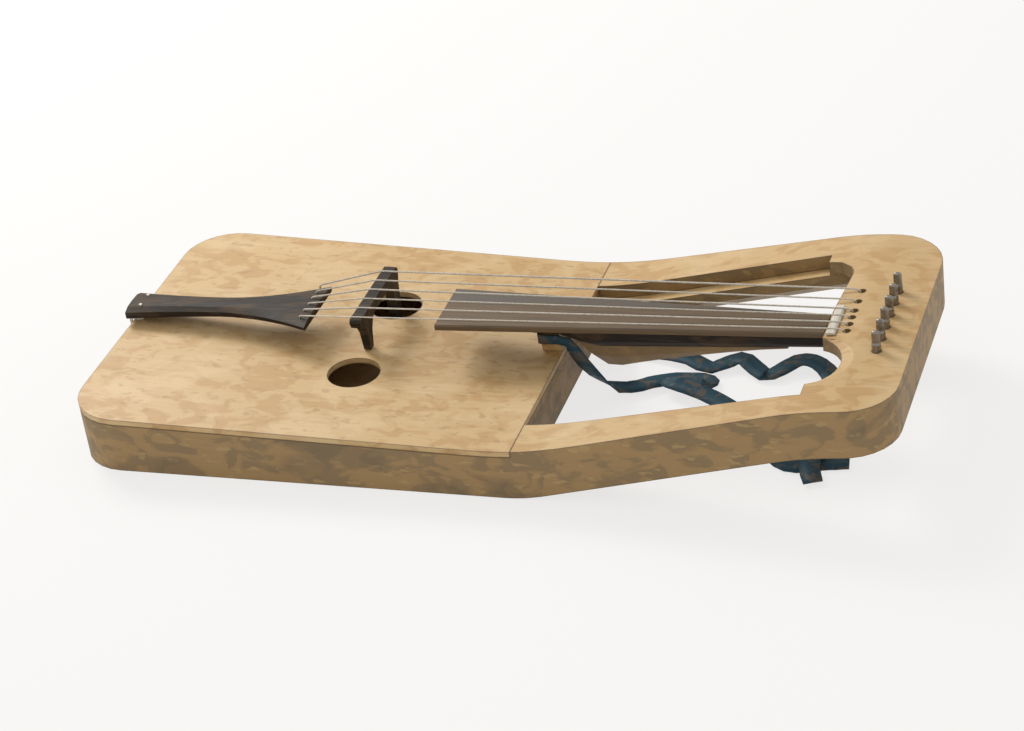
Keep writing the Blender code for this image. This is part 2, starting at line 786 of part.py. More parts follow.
def tailpiece_thickness(x):
    """The tailpiece gets thinner towards the strings."""
    share = (x - TAILPIECE_START) / (TAILPIECE_END - TAILPIECE_START)
    return mix(TAILPIECE_START_THICKNESS, TAILPIECE_HEAD_THICKNESS, share)


def tailpiece_half(x):
    """Half the tailpiece's width: a slim waist and a flared head."""
    if x < TAILPIECE_WAIST_X:
        share = (TAILPIECE_WAIST_X - x) / (TAILPIECE_WAIST_X - TAILPIECE_START)
        return mix(TAILPIECE_WAIST, TAILPIECE_END_WIDTH, share ** 2) / 2
    share = (x - TAILPIECE_WAIST_X) / (TAILPIECE_END - TAILPIECE_WAIST_X)
    return mix(TAILPIECE_WAIST, TAILPIECE_HEAD_WIDTH, share ** 1.8) / 2


def tailpiece_y(x):
    """Middle line of the tailpiece."""
    share = (x - TAILPIECE_START) / (TAILPIECE_END - TAILPIECE_START)
    return mix(TAILPIECE_START_Y, TAILPIECE_HEAD_Y, share)


def tail_hole_place(i):
    """Where string i comes up through the tailpiece."""
    y = TAIL_HOLE_MIDDLE_Y + TAIL_HOLE_PITCH * ((STRING_COUNT - 1) / 2 - i)
    return TAILPIECE_END - TAIL_HOLES_FROM_HEAD, y


def loop_hole_places():
    """The two holes that the tail loop comes through."""
    return [(LOOP_HOLE_X, TAILPIECE_START_Y + side * LOOP_HALF_SPAN) for side in (-1, 1)]


def build_tailpiece(wood):
    """Dark carved tailpiece with a hole for each string and two for its loop."""
    sections = []
    count = 14
    for i in range(count + 1):
        x = mix(TAILPIECE_START, TAILPIECE_END, i / count)
        y, half, low = tailpiece_y(x), tailpiece_half(x), tailpiece_bottom(x)
        high = low + tailpiece_thickness(x)
        edge = TAILPIECE_CROWN
        sections.append([
            (x, y - half + edge, low), (x, y + half - edge, low), (x, y + half, low + edge),
            (x, y + half, high - 2 * edge), (x, y + half * 0.6, high - edge / 3), (x, y, high),
            (x, y - half * 0.6, high - edge / 3), (x, y - half, high - 2 * edge), (x, y - half, low + edge),
        ])
    tailpiece = loft("tailpiece", sections, wood, smooth=True)
    rods = []
    for i in range(STRING_COUNT):
        x, y = tail_hole_place(i)
        low = tailpiece_bottom(x)
        rods.append(((x, y, low - OVERCUT), (x, y, low + OVERCUT * 2), TAIL_HOLE_RADIUS))
    for x, y in loop_hole_places():
        low = tailpiece_bottom(x)
        rods.append(((x, y, low - OVERCUT), (x, y, low + OVERCUT * 2), LOOP_DIAMETER / 2 + SEAM))
    cut(tailpiece, [rods_cutter("tailpiece_holes_cutter", rods, 10)])


def build_end_button(wood):
    """Turned button in the tail block, which the loop goes round."""
    profile = (
        (BUTTON_SHANK_LENGTH, BUTTON_SHANK_RADIUS * 0.85),
        (SEAM, BUTTON_SHANK_RADIUS),
        (-SEAM, BUTTON_SHANK_RADIUS),
        (-2 * SEAM, BUTTON_NECK_RADIUS),
        (-BUTTON_NECK_LENGTH, BUTTON_NECK_RADIUS),
        (-BUTTON_NECK_LENGTH - BUTTON_HEAD_LENGTH * 0.25, BUTTON_HEAD_RADIUS * 0.93),
        (-BUTTON_NECK_LENGTH - BUTTON_HEAD_LENGTH * 0.6, BUTTON_HEAD_RADIUS),
        (-BUTTON_NECK_LENGTH - BUTTON_HEAD_LENGTH * 0.9, BUTTON_HEAD_RADIUS * 0.75),
        (-BUTTON_NECK_LENGTH - BUTTON_HEAD_LENGTH, BUTTON_HEAD_RADIUS * 0.4),
    )
    sections = []
    for x, radius in profile:
        centre = (x, TAILPIECE_START_Y, BUTTON_HEIGHT)
        sections.append(circle(centre, radius, radius, (0, 1, 0), (0, 0, 1), PIN_SIDES))
    loft("end_button", sections, wood, smooth=True)


def build_tail_loop(gut):
    """Gut loop from the tailpiece over the tail edge and round the button."""
    radius = LOOP_DIAMETER / 2
    out = -radius - SEAM
    ring = BUTTON_NECK_RADIUS + radius + SEAM
    halves = []
    for side in (-1, 1):
        x, y = loop_hole_places()[(side + 1) // 2]
        low = tailpiece_bottom(x)
        shelf = front_z(0.0) + radius + SEAM
        halves.append([
            (x, y, low + tailpiece_thickness(x) + 0.5 * radius), (x, y, shelf),
            (out - 0.0012, y, shelf), (out, y, front_z(0.0) - 0.008),
        ])
    route = rounded_route(halves[0] + [(out, TAILPIECE_START_Y - ring, BUTTON_HEIGHT + 0.004)], 0.0022)
    for i in range(ARC_STEPS + 1):
        angle = math.pi * i / ARC_STEPS
        route.append((out, TAILPIECE_START_Y - ring * math.cos(angle), BUTTON_HEIGHT - ring * math.sin(angle)))
    back = rounded_route(halves[1] + [(out, TAILPIECE_START_Y + ring, BUTTON_HEIGHT + 0.004)], 0.0022)
    route += list(reversed(back))
    tube("tail_loop", route, [radius] * len(route), 8, gut)


def wrap_radius(i):
    """Distance of a wound string's middle from its pin's axis."""
    return PIN_REAR_RADIUS + SEAM + string_radius(i)


def string_level():
    """Height at which the strings reach the pins behind the head."""
    return back_z(BODY_LENGTH) - STRING_LEVEL_BELOW_HEAD


def build_string(i, gut):
    """One string: knot, tailpiece, bridge, nut, hole in the head, and half a turn round its pin."""
    radius = string_radius(i)
    tail_x, tail_y = tail_hole_place(i)
    low = tailpiece_bottom(tail_x)
    high = low + tailpiece_thickness(tail_x) + SEAM
    hole_x, hole_y = string_hole_places()[i]
    rim = hole_x - STRING_HOLE_RADIUS + radius + SEAM
    pin_x, pin_y = pin_places()[i]
    edge_x = head_x(HEAD_WALL) - radius - 2 * SEAM
    edge_z = back_z(edge_x) - radius - 2 * SEAM
    wrap = wrap_radius(i)
    level = string_level()
    corners = [
        (tail_x, tail_y, low - KNOT_RADIUS * 0.6), (tail_x, tail_y, high + radius),
        bridge_string_point(i), nut_string_point(i),
        (rim, hole_y, front_z(rim) + radius + SEAM), (rim + radius, hole_y, front_z(rim, LEDGE_DEPTH / 2)),
        (edge_x, mix(hole_y, pin_y + wrap, 0.5), edge_z), (pin_x, pin_y + wrap, level),
    ]
    route = rounded_route(corners, 0.0016)
    for step in range(1, ARC_STEPS + 1):
        angle = math.pi / 2 - math.pi * step / ARC_STEPS
        route.append(Vector((pin_x + wrap * math.cos(angle), pin_y + wrap * math.sin(angle), level)))
    knot = [Vector(corners[0]) - Vector((0.0, 0.0, KNOT_RADIUS * share)) for share in (1.2, 1.0, 0.5)]
    radii = [KNOT_RADIUS * 0.5, KNOT_RADIUS, KNOT_RADIUS] + [radius] * len(route)
    tube("string_%d" % (i + 1), knot + route, radii, STRING_SIDES, gut)


def build_winding(i, gut):
    """The turns of one string on its pin's rear end, which turn with the pin."""
    radius, wrap = string_radius(i), wrap_radius(i)
    pin_x, pin_y = pin_places()[i]
    step = 2 * radius + WINDING_STEP_GAP
    start = string_level() - step
    per_turn = 2 * ARC_STEPS
    points = []
    for n in range(WINDING_TURNS * per_turn + 1):
        angle = -math.pi / 2 - 2 * math.pi * n / per_turn
        height = start - step * n / per_turn
        points.append((pin_x + wrap * math.cos(angle), pin_y + wrap * math.sin(angle), height))
    gap = min((Vector(points[n]) - Vector(points[n + per_turn])).length for n in range(len(points) - per_turn))
    print("winding", i + 1, "least gap between turns in mm:", round((gap - 2 * radius) * 1000, 2))
    tube("string_winding_%d" % (i + 1), points, [radius] * len(points), STRING_SIDES, gut)


def build_pin(i, iron):
    """One iron tuning pin: a flattened key end in front, the winding end behind."""
    pin_x, pin_y = pin_places()[i]
    front, back = front_z(pin_x), back_z(pin_x)
    blade = front + PIN_COLLAR
    tip = blade + PIN_BLADE
    profile = (
        (back - PIN_REAR_LENGTH, PIN_REAR_RADIUS * 0.7, PIN_REAR_RADIUS * 0.7),
        (back - PIN_REAR_LENGTH + PIN_DOME / 2, PIN_REAR_RADIUS, PIN_REAR_RADIUS),
        (back - SEAM, PIN_REAR_RADIUS, PIN_REAR_RADIUS),
        (back + SEAM, PIN_RADIUS, PIN_RADIUS),
        (blade - PIN_DOME, PIN_RADIUS, PIN_RADIUS),
        (blade, PIN_BLADE_WIDE, PIN_BLADE_THIN),
        (tip - PIN_DOME, PIN_BLADE_WIDE * 0.95, PIN_BLADE_THIN * 0.95),
        (tip - PIN_DOME / 3, PIN_BLADE_WIDE * 0.8, PIN_BLADE_THIN * 0.75),
        (tip, PIN_BLADE_WIDE * 0.45, PIN_BLADE_THIN * 0.4),
    )
    sections = [circle((0, 0, z), wide, thin, (1, 0, 0), (0, 1, 0), PIN_SIDES) for z, wide, thin in profile]
    loft("tuning_pin_%d" % (i + 1), sections, iron, (pin_x, pin_y, 0.0), smooth=True)


def ribbon_route():
    """Points of the ribbon's middle line, each with the share of its width that it shows there.

    It goes from one free end, under the near arm and round the neck's foot, to the other free end.
    Both free stretches are in parts of the yoke's length from the soundbox, and of the waist's width.
    """
    along, across = (BODY_LENGTH - SOUNDBOX_LENGTH) / YOKE_PARTS, WAIST_WIDTH / WAIST_PARTS
    face = SOUNDBOX_LENGTH + RIBBON_THICKNESS / 2 + SEAM
    back = foot_x() - RIBBON_THICKNESS - SEAM
    loop = neck_bottom(foot_x()) - RIBBON_WIDTH * RIBBON_BUNCH / 2 - SEAM
    near = NECK_ROOT_Y - FOOT_HALF_WIDTH - RIBBON_THICKNESS - SEAM
    far = NECK_ROOT_Y + FOOT_HALF_WIDTH + FOOT_LEAN / 2 + RIBBON_THICKNESS + SEAM
    first = [
        (203.0, -53.0, 1.0, 0.8), (186.5, -56.0, 1.0, 0.9), (172.5, -60.0, 1.0, 1.0),
        (162.0, -58.0, 1.0, 1.0), (151.5, -47.0, 1.0, 1.0), (139.5, -31.0, 2.0, 1.0),
        (124.5, -14.0, 3.0, 1.0), (109.5, -1.0, 4.0, 1.0), (94.5, 7.0, 5.6, 1.0),
        (80.5, 11.5, 7.2, 1.0), (70.0, 15.0, 7.8, 1.0), (66.5, 19.0, 6.6, 1.0),
        (73.5, 22.0, 5.2, 1.0), (85.5, 21.5, 4.6, 1.0), (90.5, 23.5, 3.6, 1.0),
        (90.5, 29.0, 2.2, 1.0), (84.5, 32.0, 1.0, 1.0), (68.5, 29.0, 2.2, 1.0),
        (53.5, 20.5, 3.4, 1.0), (41.5, 12.0, 4.0, 1.0), (28.5, 6.0, 8.5, 1.0),
        (17.5, 1.0, 23.0, 0.9), (10.0, -3.0, 39.0, 0.7),
    ]
    round_foot = [
        (face + 0.004, near, loop, RIBBON_BUNCH), (foot_x() + 0.002, near, loop, RIBBON_BUNCH),
        (back, near + 0.003, loop, RIBBON_BUNCH), (back, far - 0.003, loop, RIBBON_BUNCH),
        (foot_x() + 0.002, far, loop, RIBBON_BUNCH), (face + 0.002, far, loop, RIBBON_BUNCH),
    ]
    second = [
        (9.5, 28.0, 40.0, 0.8), (13.0, 40.0, 24.0, 1.0), (19.5, 52.0, 8.0, 1.0),
        (29.5, 59.0, 2.0, 1.0), (42.5, 58.0, 2.0, 1.0), (56.5, 56.0, 3.0, 1.0),
        (72.5, 51.0, 4.0, 1.0), (87.5, 44.0, 2.6, 1.0), (99.5, 51.0, 4.0, 1.0),
        (108.5, 53.0, 6.0, 1.0), (117.5, 47.0, 3.6, 1.0), (127.5, 40.0, 2.2, 1.0),
        (136.5, 46.0, 3.6, 1.0), (145.5, 54.0, 6.0, 1.0), (155.5, 54.5, 7.0, 1.0),
        (165.5, 49.0, 5.0, 1.0), (172.5, 40.0, 2.8, 1.0), (178.5, 22.0, 2.4, 1.0),
        (180.5, 0.0, 2.6, 1.0), (179.5, -25.0, 3.0, 1.0), (178.0, -48.0, 4.2, 1.0),
        (179.5, -64.0, 4.4, 1.0), (185.0, -78.0, 2.2, 0.9),
    ]

    def placed(points):
        return [(SOUNDBOX_LENGTH + x * along, y * across, z * across, share) for x, y, z, share in points]

    return placed(first) + round_foot + placed(second)


def catmull(a, b, c, d, t):
    """Smooth curve through b and c."""
    return 0.5 * ((2 * b) + (c - a) * t + (2 * a - 5 * b + 4 * c - d) * t ** 2
                  + (3 * b - a - 3 * c + d) * t ** 3)


def smooth_route(points, count):
    """A smooth curve through the points, sampled evenly by number."""
    points = [Vector(point) for point in points]
    samples = []
    for n in range(count + 1):
        place = n / count * (len(points) - 1)
        i = min(int(place), len(points) - 2)
        before, after = points[max(i - 1, 0)], points[min(i + 2, len(points) - 1)]
        samples.append(catmull(before, points[i], points[i + 1], after, place - i))
    return samples


def build_ribbon(silk):
    """Flat ribbon round the neck's foot, with both ends lying under the near arm."""
    route = smooth_route(ribbon_route(), RIBBON_SAMPLES)
    sections = []
    across = None
    for n, sample in enumerate(route):
        point, share = sample.to_3d(), sample.w
        before, after = route[max(n - 1, 0)].to_3d(), route[min(n + 1, len(route) - 1)].to_3d()
        along = (after - before).normalized()
        wanted = along.cross(Vector((0.0, 0.0, 1.0))).normalized()
        if point.z > 0.045:
            wanted = Vector((0.0, 0.0, 1.0))
        elif abs(along.z) > 0.5:
            wanted = Vector((1.0, 0.0, 0.0))
        if across is not None and wanted.dot(across) < 0:
            wanted = -wanted
        across = wanted if across is None else mix(across, wanted, 0.5).normalized()
        across = (across - along * across.dot(along)).normalized()
        normal = along.cross(across)
        a, b = across * RIBBON_WIDTH * share / 2, normal * RIBBON_THICKNESS / 2
        ring = [point - a - b, point + a - b, point + a + b, point - a + b]
        lift = Vector((0.0, 0.0, max(SEAM - min(corner.z for corner in ring), 0.0)))
        sections.append([corner + lift for corner in ring])
    loft("ribbon", sections, silk, smooth=True)


def main():
    """Build every piece."""
    clear_scene()
    anchor = bpy.data.objects.new("back_middle", None)
    bpy.context.scene.collection.objects.link(anchor)
    anchor.location = (-BACK_MIDDLE, 0.0, 0.0)
    sycamore = make_material("sycamore", (0.50, 0.34, 0.17), 0.55)
    board = make_material("soundboard_wood", (0.58, 0.40, 0.19), 0.5)
    dark = make_material("dark_hardwood", (0.035, 0.026, 0.018), 0.4)
    brown = make_material("fingerboard_wood", (0.13, 0.095, 0.06), 0.4)
    bone = make_material("bone", (0.72, 0.68, 0.60), 0.35)
    gut = make_material("gut", (0.62, 0.58, 0.50), 0.35)
    iron = make_material("iron", (0.10, 0.09, 0.08), 0.4, 1.0)
    silk = make_material("blue_silk", (0.02, 0.06, 0.09), 0.45)
    build_body(sycamore)
    build_soundboard(board)
    build_neck(dark)
    build_neck_foot(sycamore)
    build_neck_wedge(sycamore)
    build_fingerboard(brown)
    build_nut(bone)
    build_bridge(dark)
    build_tailpiece(dark)
    build_end_button(dark)
    build_tail_loop(gut)
    for i in range(STRING_COUNT):
        build_string(i, gut)
        build_pin(i, iron)
        build_winding(i, gut)
    build_ribbon(silk)


main()
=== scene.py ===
"""Looks for the crwth: worn light wood, dark hardwood, gut, iron pins and a silk ribbon."""

import math

import bmesh
import bpy
from mathutils import Matrix, Vector


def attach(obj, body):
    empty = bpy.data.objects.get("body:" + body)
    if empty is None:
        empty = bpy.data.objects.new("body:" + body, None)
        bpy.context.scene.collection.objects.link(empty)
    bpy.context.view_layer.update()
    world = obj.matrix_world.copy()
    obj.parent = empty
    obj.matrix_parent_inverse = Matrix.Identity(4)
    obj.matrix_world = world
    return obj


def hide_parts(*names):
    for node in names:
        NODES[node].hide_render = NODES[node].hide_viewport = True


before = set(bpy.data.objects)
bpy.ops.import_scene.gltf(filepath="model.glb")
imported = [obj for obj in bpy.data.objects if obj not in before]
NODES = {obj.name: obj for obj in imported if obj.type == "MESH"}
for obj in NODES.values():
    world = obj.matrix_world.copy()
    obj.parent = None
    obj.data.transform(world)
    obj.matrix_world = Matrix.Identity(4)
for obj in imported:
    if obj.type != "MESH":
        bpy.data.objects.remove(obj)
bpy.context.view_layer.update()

bl_info = {
    "name": "Crwth finishes",
    "version": (1, 0, 0),
    "blender": (4, 5, 0),
    "location": "3D View > Sidebar > Crwth",
    "description": "Finishes the crwth and sets its stage",
    "category": "Object",
}

STRING_COUNT = 6

# Camera. The origin is the middle of the soundbox's flat back.
CAMERA_AZIMUTH = math.radians(21.9)
CAMERA_ELEVATION = math.radians(31.87)
CAMERA_ROLL = math.radians(-8.1)
CAMERA_DISTANCE = 1.872
CAMERA_TARGET = Vector((0.1213, 0.0, 0.023))
CAMERA_LENS = 97.875
CAMERA_SENSOR = 36.0
WORLD_UP = Vector((0.0, 0.0, 1.0))

# Lights
KEY_PLACE = Vector((-1.1, 0.9, 1.25))
KEY_SIZE = 0.7
KEY_COLOUR = (1.0, 0.97, 0.92)
SKY_COLOUR = (1.0, 0.99, 0.97, 1.0)

# Floor, just under the back
FLOOR_HALF = 12.0
FLOOR_DROP = 0.0005
FLOOR_ROUGHNESS = 0.9
FLOOR_GLOW = 0.8

# Ribbon
RIBBON_WIDTH = 0.014
RIBBON_RIPPLE = 0.0003
RIPPLES_ALONG = 900.0
RIPPLES_ACROSS = 700.0
MERGE_DISTANCE = 1e-6
CREASE_ANGLE = math.radians(40)

# Shader nodes
EVEN = (1.0, 1.0, 1.0)
EDGE_SAMPLES = 6
MIX_SHARE, MIX_FIRST, MIX_SECOND, MIX_RESULT = 0, 6, 7, 2


class Wire:
    """One output of a node, to be used in expressions."""

    def __init__(self, finish, socket):
        self.finish = finish
        self.socket = socket

    def other(self, name):
        """Another output of the same node."""
        return Wire(self.finish, self.socket.node.outputs[name])

    def math(self, operation, first, second):
        """A Math node on two values, one of them this wire."""
        return self.finish.node("ShaderNodeMath", {"operation": operation}, {0: first, 1: second})

    def __add__(self, value):
        return self.math("ADD", self, value)

    def __radd__(self, value):
        return self.math("ADD", value, self)

    def __sub__(self, value):
        return self.math("SUBTRACT", self, value)

    def __rsub__(self, value):
        return self.math("SUBTRACT", value, self)

    def __mul__(self, value):
        return self.math("MULTIPLY", self, value)

    def __rmul__(self, value):
        return self.math("MULTIPLY", value, self)

    def step(self, low, high):
        """0 below low and 1 above high, smooth between them."""
        settings = {"interpolation_type": "SMOOTHSTEP"}
        sockets = {"Value": self, "From Min": low, "From Max": high}
        return self.finish.node("ShaderNodeMapRange", settings, sockets)


class Finish:
    """A material that is written as expressions."""

    def __init__(self, name):
        self.material = bpy.data.materials.new(name)
        self.material.use_nodes = True
        self.tree = self.material.node_tree
        self.surface = self.tree.nodes["Principled BSDF"]

    def node(self, kind, settings=None, sockets=None, output=0):
        """Add a node, set it, feed its sockets and return one output."""
        made = self.tree.nodes.new(kind)
        for key, value in (settings or {}).items():
            setattr(made, key, value)
        for key, value in (sockets or {}).items():
            self.feed(made.inputs[key], value)
        return Wire(self, made.outputs[output])

    def feed(self, socket, value):
        """Link a wire, or set a plain value."""
        if isinstance(value, Wire):
            self.tree.links.new(value.socket, socket)
        elif socket.type == "RGBA":
            socket.default_value = (*value, 1.0)
        else:
            socket.default_value = value

    def place(self, stretch=EVEN):
        """Where a point lies on its piece, in metres, scaled along each axis."""
        where = self.node("ShaderNodeTexCoord", output="Object")
        return self.node("ShaderNodeMapping", sockets={"Vector": where, "Scale": stretch})

    def noise(self, scale, detail=4.0, stretch=EVEN, distortion=0.0):
        """Cloudy values around a half, drawn out along an axis whose stretch is below 1."""
        sockets = {
            "Vector": self.place(stretch),
            "Scale": scale,
            "Detail": detail,
            "Distortion": distortion,
        }
        return self.node("ShaderNodeTexNoise", {"noise_dimensions": "3D"}, sockets)

    def grain(self, scale=420.0, along=0.06):
        """Fine lines of wood along X."""
        return self.noise(scale, detail=3.0, stretch=(along, 1.0, 1.0), distortion=0.4)

    def edge(self, radius):
        """0 on a flat face, and rising towards an edge that is nearer than the radius."""
        rounded = self.node("ShaderNodeBevel", {"samples": EDGE_SAMPLES}, {"Radius": radius})
        true = self.node("ShaderNodeNewGeometry", output="Normal")
        settings = {"operation": "DOT_PRODUCT"}
        return 1.0 - self.node("ShaderNodeVectorMath", settings, {0: rounded, 1: true}, "Value")

    def blend(self, share, first, second):
        """Mix two colours."""
        sockets = {MIX_SHARE: share, MIX_FIRST: first, MIX_SECOND: second}
        return self.node("ShaderNodeMix", {"data_type": "RGBA"}, sockets, MIX_RESULT)

    def stain(self, ground, colour, pattern, low, high, share):
        """Lay a share of a colour over the ground, where the pattern passes from low to high."""
        return self.blend(pattern.step(low, high) * share, ground, colour)

    def set(self, **sockets):
        """Feed the surface's sockets."""
        for key, value in sockets.items():
            self.feed(self.surface.inputs[key.replace("_", " ")], value)

    def bump(self, height, depth, strength):
        """Raise the surface by height times depth."""
        sockets = {"Height": height, "Distance": depth, "Strength": strength}
        self.set(Normal=self.node("ShaderNodeBump", sockets=sockets))


def mottled_wood(look, name, base, warm, pale, dull, roughness):
    """Old varnished wood with cloudy stains, fine grain and dark worn edges."""
    finish = Finish(name)
    broad = finish.noise(scale=24.0, detail=5.0, stretch=(0.7, 1.0, 1.0), distortion=0.6)
    cloud = finish.noise(scale=75.0, detail=6.0, stretch=(0.6, 1.0, 1.0), distortion=0.8)
    speck = finish.noise(scale=230.0, detail=3.0, stretch=(0.5, 1.0, 1.0))
    lines = finish.grain()
    colour = finish.stain(base, warm, cloud, low=0.47, high=0.56, share=0.75)
    colour = finish.stain(colour, pale, broad, low=0.48, high=0.62, share=0.55)
    colour = finish.stain(colour, dull, speck, low=0.60, high=0.66, share=0.45)
    colour = finish.stain(colour, dull, lines, low=0.52, high=0.70, share=0.22)
    edges = finish.edge(look.soundboard_wear)
    colour = finish.stain(colour, look.edge, edges, low=0.03, high=0.22, share=0.85)
    finish.set(Base_Color=colour, Roughness=roughness + 0.12 * cloud)
    finish.bump(lines * 0.6 + cloud * 0.4, depth=0.0004, strength=0.35)
    return finish.material


def body_wood(look):
    """The body: tan on the front, and browner and greyer on the sides, as painted shade set by which way a
    face points.
    """
    finish = Finish("sycamore")
    broad = finish.noise(scale=22.0, detail=5.0, stretch=(0.7, 1.0, 1.2), distortion=0.7)
    cloud = finish.noise(scale=62.0, detail=6.0, stretch=(0.6, 1.0, 1.0), distortion=0.9)
    speck = finish.noise(scale=210.0, detail=3.0, stretch=(0.4, 1.0, 1.0))
    lines = finish.grain()
    normal = finish.node("ShaderNodeNewGeometry", output="True Normal")
    upward = finish.node("ShaderNodeSeparateXYZ", sockets={"Vector": normal}, output="Z")
    front = finish.stain(look.front, look.front_warm, cloud, low=0.47, high=0.56, share=0.75)
    front = finish.stain(front, look.front_pale, broad, low=0.48, high=0.62, share=0.5)
    side = finish.stain(look.side, look.side_dull, cloud, low=0.46, high=0.55, share=0.8)
    side = finish.stain(side, look.side_fleck, speck, low=0.60, high=0.66, share=0.7)
    side = finish.stain(side, look.side_dark, broad, low=0.55, high=0.66, share=0.55)
    # Faces that do not point up get the darker, greyer side colours: painted shade, with the sides' own
    # stains in it.
    colour = finish.blend(upward.step(low=0.55, high=0.9), side, front)
    colour = finish.stain(colour, look.side_dull, lines, low=0.52, high=0.70, share=0.2)
    edges = finish.edge(look.body_wear)
    colour = finish.stain(colour, look.edge, edges, low=0.03, high=0.22, share=0.85)
    finish.set(Base_Color=colour, Roughness=0.5 + 0.15 * cloud)
    finish.bump(lines * 0.6 + cloud * 0.4, depth=0.0005, strength=0.4)
    return finish.material


def dark_wood(look, name, worn):
    """Dark hardwood with brown patches, and paler lines and edges."""
    finish = Finish(name)
    cloud = finish.noise(scale=85.0, detail=5.0, stretch=(0.35, 1.0, 1.0), distortion=0.6)
    lines = finish.grain(scale=520.0, along=0.04)
    colour = finish.stain(look.hardwood, look.hardwood_brown, cloud, low=0.46, high=0.62, share=0.8)
    colour = finish.stain(colour, worn, lines, low=0.55, high=0.72, share=0.35)
    edges = finish.edge(look.hardwood_wear)
    colour = finish.stain(colour, worn, edges, low=0.04, high=0.3, share=0.5)
    finish.set(Base_Color=colour, Roughness=0.5 + 0.2 * cloud, Specular_IOR_Level=0.25)
    finish.bump(lines * 0.7 + cloud * 0.3, depth=0.0003, strength=0.3)
    return finish.material


def fingerboard_wood(look):
    """Brown fingerboard with a painted grey highlight along its far side."""
    finish = Finish("fingerboard_wood")
    across = finish.node("ShaderNodeSeparateXYZ", sockets={"Vector": finish.place()}, output="Y")
    cloud = finish.noise(scale=60.0, detail=5.0, stretch=(0.18, 1.0, 1.0), distortion=0.5)
    lines = finish.grain(scale=480.0, along=0.03)
    wander = (cloud - 0.5) * 0.03
    colour = finish.stain(look.fingerboard, look.hardwood_brown, lines, low=0.48, high=0.66, share=0.5)
    # Painted highlight: a grey streak along the far side of the top.
    colour = finish.stain(colour, look.grey_highlight_and_wear, across + wander, low=0.004, high=0.011, share=0.75)
    edges = finish.edge(look.hardwood_wear)
    colour = finish.stain(colour, look.hardwood, edges, low=0.04, high=0.3, share=0.6)
    finish.set(Base_Color=colour, Roughness=0.36 + 0.15 * cloud)
    finish.bump(lines, depth=0.0003, strength=0.3)
    return finish.material


def gut_finish(look):
    """Pale twisted gut."""
    finish = Finish("gut")
    twist = finish.noise(scale=900.0, detail=2.0, stretch=(0.7, 1.0, 1.0))
    colour = finish.stain(look.gut, look.gut_dark, twist, low=0.45, high=0.6, share=0.55)
    finish.set(Base_Color=colour, Roughness=0.35 + 0.1 * twist)
    finish.bump(twist, depth=0.0001, strength=0.4)
    return finish.material


def bone_finish(look):
    """Old bone with faint streaks."""
    finish = Finish("bone")
    streak = finish.noise(scale=300.0, stretch=(1.0, 0.15, 1.0))
    colour = finish.stain(look.bone, look.gut_dark, streak, low=0.45, high=0.65, share=0.4)
    finish.set(Base_Color=colour, Roughness=0.34 + 0.1 * streak)
    finish.bump(streak, depth=0.0001, strength=0.3)
    return finish.material


def iron_finish(look):
    """Dark iron, brighter where it is handled."""
    finish = Finish("iron")
    bloom = finish.noise(scale=330.0, detail=5.0)
    colour = finish.stain(look.iron, look.iron_brown, bloom, low=0.48, high=0.62, share=0.6)
    edges = finish.edge(look.iron_wear)
    colour = finish.stain(colour, look.iron_bright, edges, low=0.05, high=0.35, share=0.7)
    finish.set(Base_Color=colour, Metallic=1.0, Roughness=0.3 + 0.3 * bloom)
    finish.bump(bloom, depth=0.0002, strength=0.35)
    return finish.material


def silk_finish(look):
    """Blue silk with grey-brown patches of painted sheen, a fine weave and dark edges."""
    finish = Finish("silk")
    patch = finish.noise(scale=95.0, detail=5.0, distortion=1.2)
    weave = finish.noise(scale=1800.0, detail=1.0)
    # The grey-brown patches are painted sheen of the twisted ribbon, laid at random.
    colour = finish.stain(look.silk, look.silk_sheen, patch, low=0.53, high=0.60, share=0.85)
    edges = finish.edge(look.silk_wear)
    colour = finish.stain(colour, look.edge, edges, low=0.05, high=0.4, share=0.35)
    finish.set(Base_Color=colour, Roughness=0.5 + 0.15 * patch, Specular_IOR_Level=0.3)
    finish.bump(weave, depth=0.0001, strength=0.35)
    return finish.material


def paint(material, *names):
    """Give the finish to CAD nodes."""
    for name in names:
        mesh = NODES[name].data
        mesh.materials.clear()
        mesh.materials.append(material)


def numbered(stem):
    """The six names of a numbered piece."""
    return ["%s_%d" % (stem, i + 1) for i in range(STRING_COUNT)]


def mesh_from(shape, name):
    """Turn a bmesh into a mesh."""
    mesh = bpy.data.meshes.new(name)
    shape.to_mesh(mesh)
    shape.free()
    return mesh


def add(scene, name, data):
    """Put a new object in the scene."""
    made = bpy.data.objects.new(name, data)
    scene.collection.objects.link(made)
    return made


def colour_property(name, description, value):
    """A colour that a user may change."""
    return bpy.props.FloatVectorProperty(
        name=name, description=description, subtype="COLOR", size=3, min=0.0, max=1.0, default=value)


def width_property(name, description, value):
    """A width that a user may change, in metres."""
    return bpy.props.FloatProperty(
        name=name, description=description, min=0.0, default=value, precision=4, unit="LENGTH")


